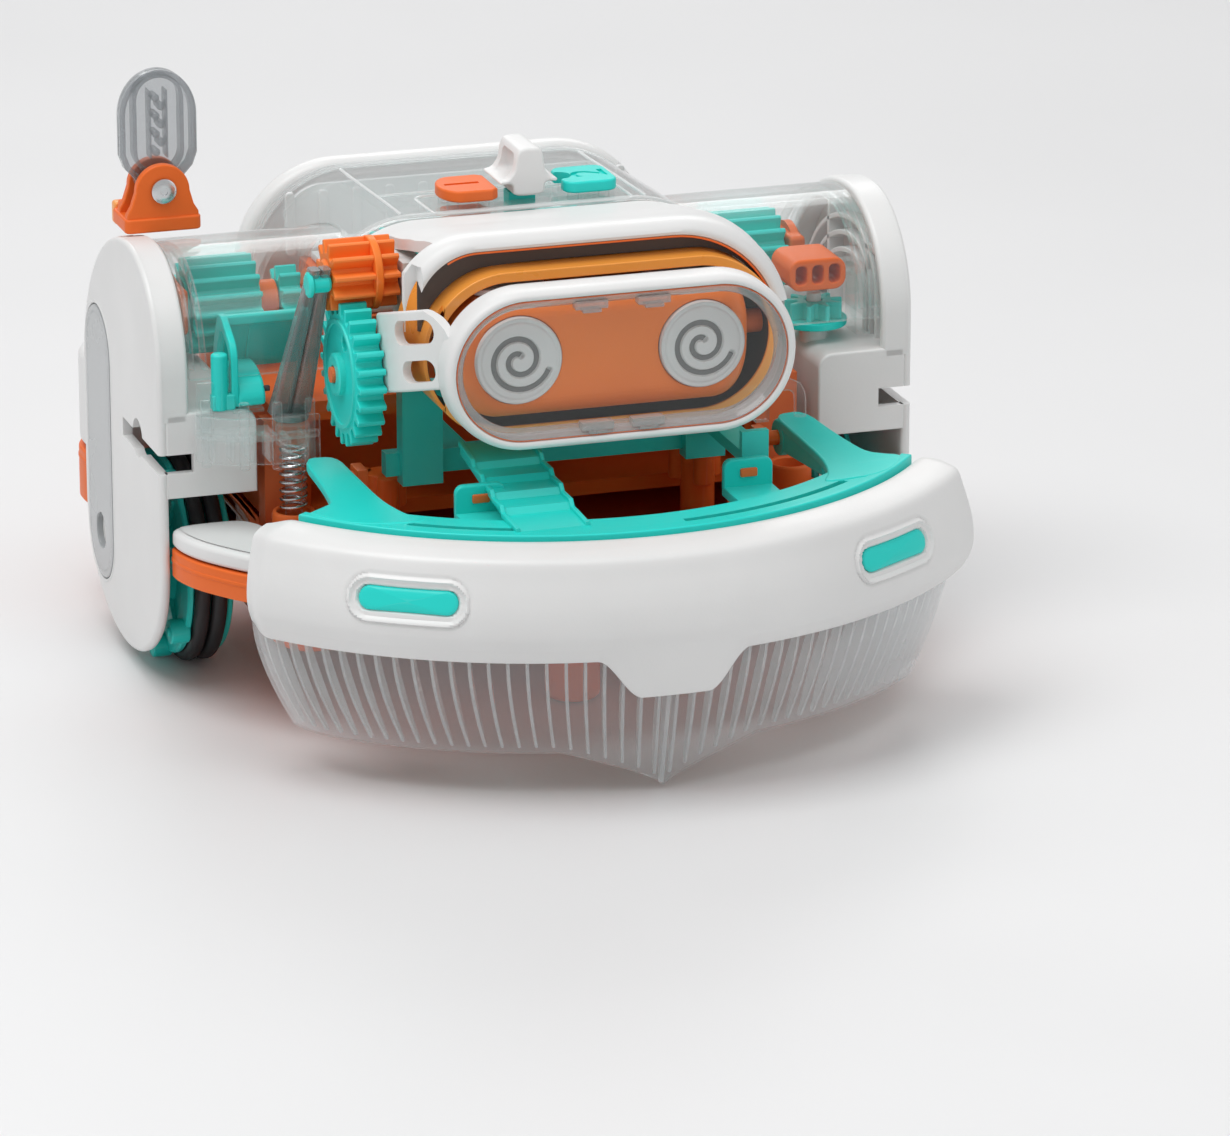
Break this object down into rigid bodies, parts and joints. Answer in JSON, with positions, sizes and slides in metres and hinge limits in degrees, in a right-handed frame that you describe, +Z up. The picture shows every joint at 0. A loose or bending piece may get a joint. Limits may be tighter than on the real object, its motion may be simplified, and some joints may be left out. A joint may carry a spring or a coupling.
{
  "type": "toy robot",
  "caption": "Wheeled toy robot with side wheels, a tilting visor, a turning face drum, clear gear pods, a swing-up antenna and a tilting front bumper.",
  "frame": {"origin": "centre of the bounding box on the floor plane", "axes": "+Y towards the rear, +Z up; the bumper is at -Y and the antenna at -X"},
  "size_m": [0.2004, 0.2154, 0.1538],
  "materials": {
    "white": "satin",
    "disc": "satin",
    "teal": "satin",
    "orange": "satin",
    "amber": "satin",
    "clear": "clear, polished",
    "smoke": "clear, smoked",
    "rubber": "satin",
    "steel": "polished"
  },
  "bodies": {
    "chassis": {"fender_cap_right": "white", "fender_cap_left": "white", "rear_cover": "white", "side_plate_right": "white", "side_plate_left": "white", "body_hood": "white", "back_shell": "white", "bearing_block": "white", "hopper": "teal", "inner_frame": "teal", "mode_plate_two": "teal", "lever_knob": "teal", "chassis_tray": "orange", "gearbox": "orange", "window_box": "orange", "mode_plate_one": "orange", "antenna_bracket": "orange", "face_housing": "amber", "pod_tube_right": "clear", "pod_tube_left": "clear", "pod_bracket_left": "clear", "pod_bracket_right": "clear", "spring_post": "clear", "top_window": "clear", "side_inset_right": "smoke", "side_inset_left": "smoke", "post_spring": "steel", "tray_spring": "steel", "antenna_pin": "steel", "visor_shaft": "steel"},
    "wheel_right": {"wheel_hub_right": "teal", "tyre_right_outer": "rubber", "tyre_right_inner": "rubber"},
    "wheel_left": {"wheel_hub_left": "teal", "tyre_left_outer": "rubber", "tyre_left_inner": "rubber"},
    "visor": {"visor_frame": "white", "visor_gear": "teal", "visor_lens": "clear"},
    "double_gear": {"double_gear": "orange"},
    "face": {"face_drum": "orange", "eye_left": "disc", "eye_right": "disc", "top_eye_left": "disc", "top_eye_right": "disc"},
    "bumper": {"yoke": "teal", "bumper_shell": "white", "bumper_skirt": "clear", "pill_left": "teal", "pill_right": "teal"},
    "mode_selector": {"mode_lever": "white", "lever_block": "teal"},
    "antenna": {"antenna_paddle": "smoke"},
    "pod_left": {"pod_gear_left": "teal", "pod_shaft_left": "orange", "small_gear_left": "teal"},
    "pod_right": {"pod_gear_right": "teal", "pod_shaft_right": "orange"},
    "pod_lever": {"pod_lever": "smoke"},
    "turntable": {"turntable": "teal"}
  },
  "joints": [
    {"name": "wheel_right_spin", "type": "hinge", "parent": "chassis", "child": "wheel_right", "pos_m": [0.086, 0.03975, 0.028], "axis": [1, 0, 0], "continuous": true},
    {"name": "wheel_left_spin", "type": "hinge", "parent": "chassis", "child": "wheel_left", "pos_m": [-0.086, 0.03975, 0.028], "axis": [1, 0, 0], "continuous": true},
    {"name": "visor_tilt", "type": "hinge", "parent": "chassis", "child": "visor", "pos_m": [-0.055, -0.01675, 0.0889], "axis": [-1, 0, 0], "range_deg": [-4, 14]},
    {"name": "double_gear_turn", "type": "hinge", "parent": "chassis", "child": "double_gear", "pos_m": [-0.05, -0.01025, 0.11251], "axis": [-1, 0, 0], "range_deg": [-31, 9]},
    {"name": "face_turn", "type": "hinge", "parent": "chassis", "child": "face", "pos_m": [0, -0.03775, 0.0995], "axis": [1, 0, 0], "continuous": true},
    {"name": "bumper_tilt", "type": "hinge", "parent": "chassis", "child": "bumper", "pos_m": [0, -0.01325, 0.0604], "axis": [-1, 0, 0], "range_deg": [-3, 3], "stiffness_Nm_per_rad": 4, "springref_deg": 0.69},
    {"name": "mode_slide", "type": "slide", "parent": "chassis", "child": "mode_selector", "axis": [1, 0, 0], "range_m": [-0.0036, 0.0036]},
    {"name": "antenna_swing", "type": "hinge", "parent": "chassis", "child": "antenna", "pos_m": [-0.0878, 0.04655, 0.1234], "axis": [0, 1, 0], "range_deg": [-30, 30]},
    {"name": "pod_left_spin", "type": "hinge", "parent": "chassis", "child": "pod_left", "pos_m": [-0.066, 0.05325, 0.0892], "axis": [1, 0, 0], "continuous": true},
    {"name": "pod_right_spin", "type": "hinge", "parent": "chassis", "child": "pod_right", "pos_m": [0.066, 0.05325, 0.0892], "axis": [1, 0, 0], "continuous": true},
    {"name": "pod_lever_swing", "type": "hinge", "parent": "chassis", "child": "pod_lever", "pos_m": [-0.063, -0.01525, 0.112], "axis": [1, 0, 0], "range_deg": [0, 5]},
    {"name": "turntable_spin", "type": "hinge", "parent": "chassis", "child": "turntable", "pos_m": [0.079, 0.01975, 0.081], "axis": [0, 0, 1], "continuous": true}
  ],
  "couplings": [
    {"joint": "double_gear_turn", "follows": "visor_tilt", "ratio": -2.1818}
  ]
}
